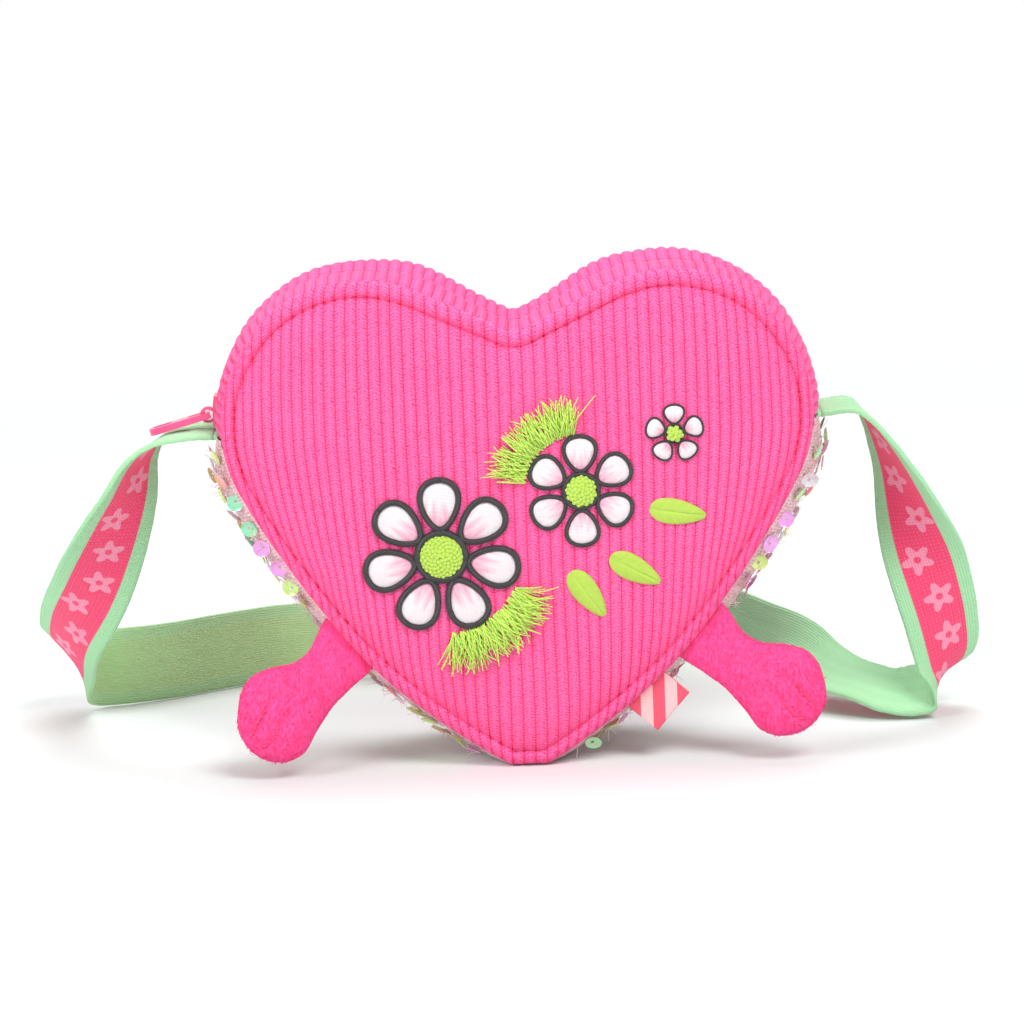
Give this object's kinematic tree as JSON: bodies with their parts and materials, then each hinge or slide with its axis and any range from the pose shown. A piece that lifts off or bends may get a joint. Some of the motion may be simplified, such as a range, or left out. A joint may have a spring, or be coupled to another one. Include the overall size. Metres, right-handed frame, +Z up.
{
  "type": "heart shaped purse",
  "caption": "Heart shaped crossbody purse in pink corduroy, with a zip over the lobes, a sequin gusset, two stuffed arms, flower embroidery and a flat webbing strap.",
  "frame": {"origin": "middle of the flat foot under the tip, at half the depth", "axes": "+Z up, -Y out of the front, +X to the right as seen from the front"},
  "size_m": [0.2949, 0.1773, 0.148],
  "materials": {
    "corduroy": "ribbed plush corduroy",
    "plush": "short pile plush",
    "padding": "soft foam and fibre filling",
    "lining": "plain woven lining",
    "mesh": "fine mesh with metallic hairs",
    "zip_tape": "woven tape",
    "zip_teeth": "moulded teeth",
    "zip_metal": "glossy enamel",
    "webbing": "printed woven webbing, mint edges and coral middle",
    "tie": "soft band",
    "tag": "striped ribbon",
    "thread_pink": "sewing thread",
    "satin_white": "satin stitch",
    "satin_black": "satin stitch",
    "satin_lime": "thread fringe and satin stitch",
    "sequin_mint": "cup sequin",
    "sequin_lime": "cup sequin",
    "sequin_coral": "cup sequin",
    "sequin_lilac": "cup sequin",
    "sequin_silver": "cup sequin"
  },
  "bodies": {
    "root": {"back_panel": "corduroy", "back_padding": "padding", "back_lining": "lining", "front_panel": "corduroy", "front_padding": "padding", "front_lining": "lining", "gusset_mesh": "mesh", "gusset_backing": "corduroy", "gusset_lining": "lining", "rear_zip_strip": "corduroy", "front_strip_end_left": "corduroy", "front_strip_end_right": "corduroy", "rear_zip_tape": "zip_tape", "front_tape_end_left": "zip_tape", "front_tape_end_right": "zip_tape", "rear_zip_teeth": "zip_teeth", "front_end_teeth": "zip_teeth", "zip_stops": "zip_metal", "strap_tab_left": "webbing", "strap_tab_right": "webbing", "strap_left": "webbing", "strap_right": "webbing", "strap_hank": "webbing", "strap_tie": "tie", "arm_tab_left": "plush", "arm_tab_right": "plush", "side_tag": "tag", "inner_label": "satin_white", "topstitching": "thread_pink", "petals": "satin_white", "petal_outlines": "satin_black", "flower_centres": "satin_lime", "leaves": "satin_lime", "lime_fringe": "satin_lime", "sequins_mint": "sequin_mint", "sequins_lime": "sequin_lime", "sequins_coral": "sequin_coral", "sequins_lilac": "sequin_lilac", "sequins_silver": "sequin_silver"},
    "mouth_flap": {"front_panel_flap": "corduroy", "front_padding_flap": "padding", "front_lining_flap": "lining", "front_zip_strip": "corduroy", "front_zip_tape": "zip_tape", "front_zip_teeth": "zip_teeth", "topstitching_flap": "thread_pink"},
    "zip_slider": {"zip_slider": "zip_metal"},
    "zip_pull": {"zip_pull": "zip_metal"},
    "arm_left": {"arm_skin_left": "plush", "arm_stuffing_left": "padding", "finger_stitches_left": "thread_pink"},
    "arm_right": {"arm_skin_right": "plush", "arm_stuffing_right": "padding", "finger_stitches_right": "thread_pink"}
  },
  "joints": [
    {"name": "mouth_fold", "type": "hinge", "parent": "root", "child": "mouth_flap", "pos_m": [0, -0.0285, 0.114], "axis": [1, 0, 0], "range_deg": [0, 35], "stiffness_Nm_per_rad": 0.03},
    {"name": "zip_travel", "type": "hinge", "parent": "root", "child": "zip_slider", "pos_m": [-0.0465, 0, 0.1045], "axis": [0, 1, 0], "range_deg": [0, 105]},
    {"name": "pull_swing", "type": "hinge", "parent": "zip_slider", "child": "zip_pull", "pos_m": [-0.09285, 0, 0.1061], "axis": [0, 1, 0], "range_deg": [0, 100]},
    {"name": "arm_left_flop", "type": "hinge", "parent": "root", "child": "arm_left", "pos_m": [-0.05425, -0.0224, 0.03738], "axis": [-0.6756, 0, 0.7373], "range_deg": [-45, 45], "stiffness_Nm_per_rad": 0.004},
    {"name": "arm_right_flop", "type": "hinge", "parent": "root", "child": "arm_right", "pos_m": [0.05425, -0.0224, 0.03738], "axis": [-0.6756, 0, -0.7373], "range_deg": [-45, 45], "stiffness_Nm_per_rad": 0.004}
  ]
}
